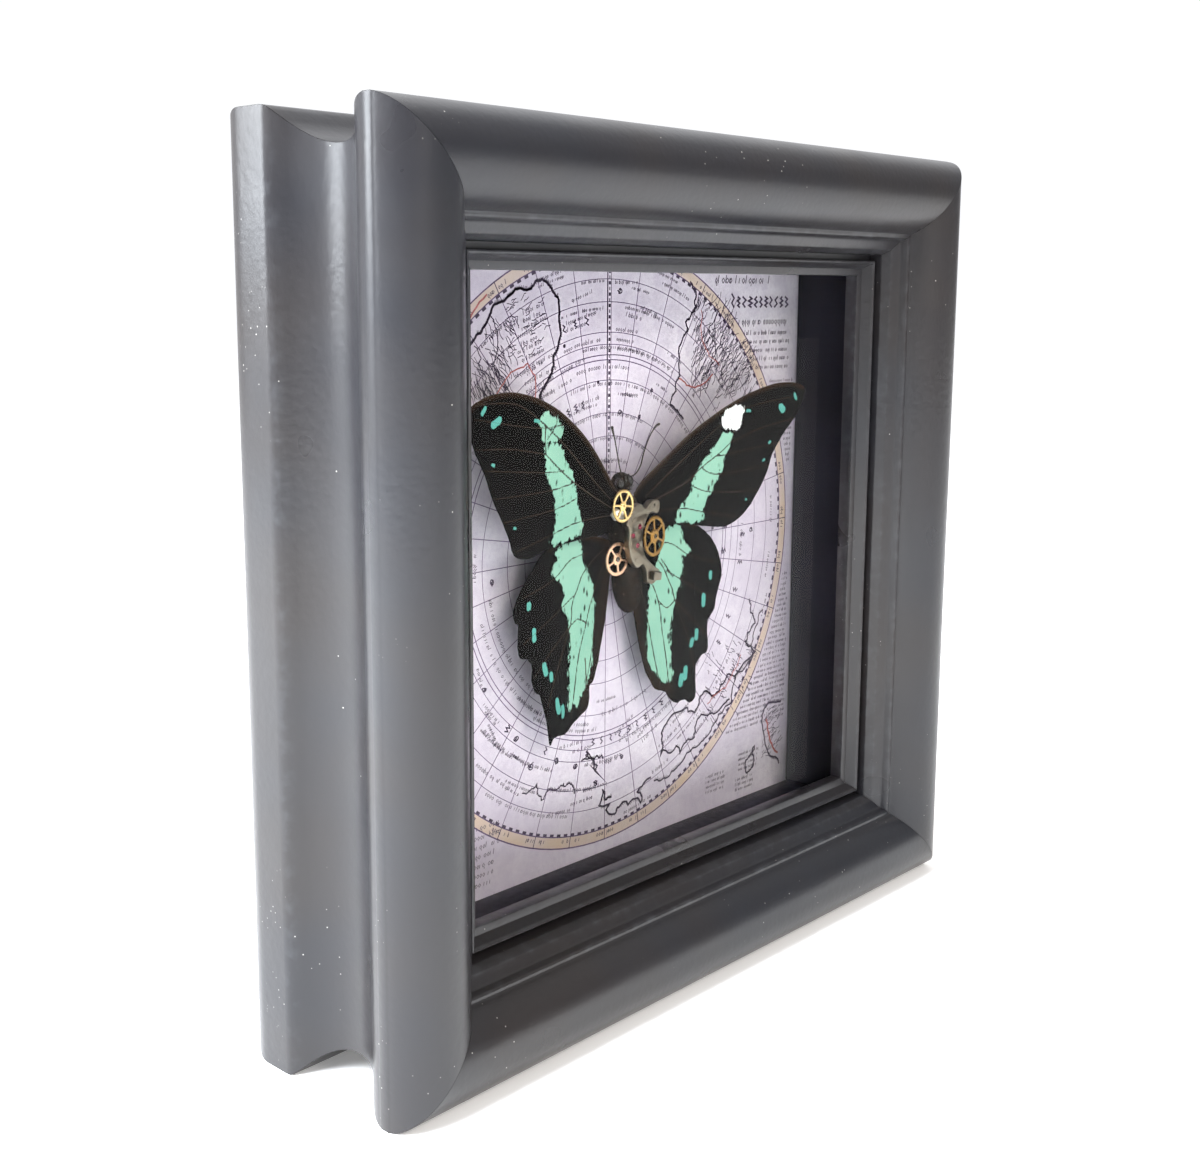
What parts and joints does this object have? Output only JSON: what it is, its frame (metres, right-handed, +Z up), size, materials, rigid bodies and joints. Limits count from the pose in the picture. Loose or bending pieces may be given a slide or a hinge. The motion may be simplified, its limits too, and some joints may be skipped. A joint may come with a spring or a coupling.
{
  "type": "framed butterfly specimen",
  "caption": "Square deep shadow-box frame, glazed, with a spread swallowtail butterfly that carries watch parts on its thorax, glued to a printed polar chart.",
  "frame": {"origin": "under the middle of the box, at the height of its lowest face", "axes": "+Z up the frame, -Y out of the glazed front towards the viewer, +X to the right of someone who faces the glass"},
  "size_m": [0.15, 0.043, 0.15],
  "materials": {
    "charcoal_paint": "satin charcoal paint",
    "clear_glass": "clear",
    "black_board": "satin black card",
    "print_paper": "matt printed paper",
    "grey_board": "plain board",
    "point_steel": "bright",
    "black_wing": "matt scales",
    "dark_body": "matt hair",
    "grey_nickel": "satin nickel",
    "pale_gold": "polished",
    "bronze_gold": "polished",
    "copper": "polished copper tone",
    "dark_steel": "dark",
    "silver_plate": "polished",
    "ruby": "glossy red"
  },
  "bodies": {
    "root": {"top_rail": "charcoal_paint", "bottom_rail": "charcoal_paint", "left_stile": "charcoal_paint", "right_stile": "charcoal_paint", "glass_pane": "clear_glass", "top_spacer": "black_board", "bottom_spacer": "black_board", "left_spacer": "black_board", "right_spacer": "black_board", "map_print": "print_paper", "backing_board": "grey_board", "top_point": "point_steel", "bottom_point": "point_steel", "left_point": "point_steel", "right_point": "point_steel", "left_forewing": "black_wing", "right_forewing": "black_wing", "left_hindwing": "black_wing", "right_hindwing": "black_wing", "body": "dark_body", "left_antenna": "dark_body", "right_antenna": "dark_body", "bridge_plate": "grey_nickel", "top_wheel": "pale_gold", "large_wheel": "bronze_gold", "lower_wheel": "copper", "large_wheel_arbor": "dark_steel", "lower_wheel_arbor": "dark_steel", "small_plate": "silver_plate", "upper_jewel": "ruby", "middle_jewel": "ruby", "lower_jewel": "ruby"}
  },
  "joints": []
}
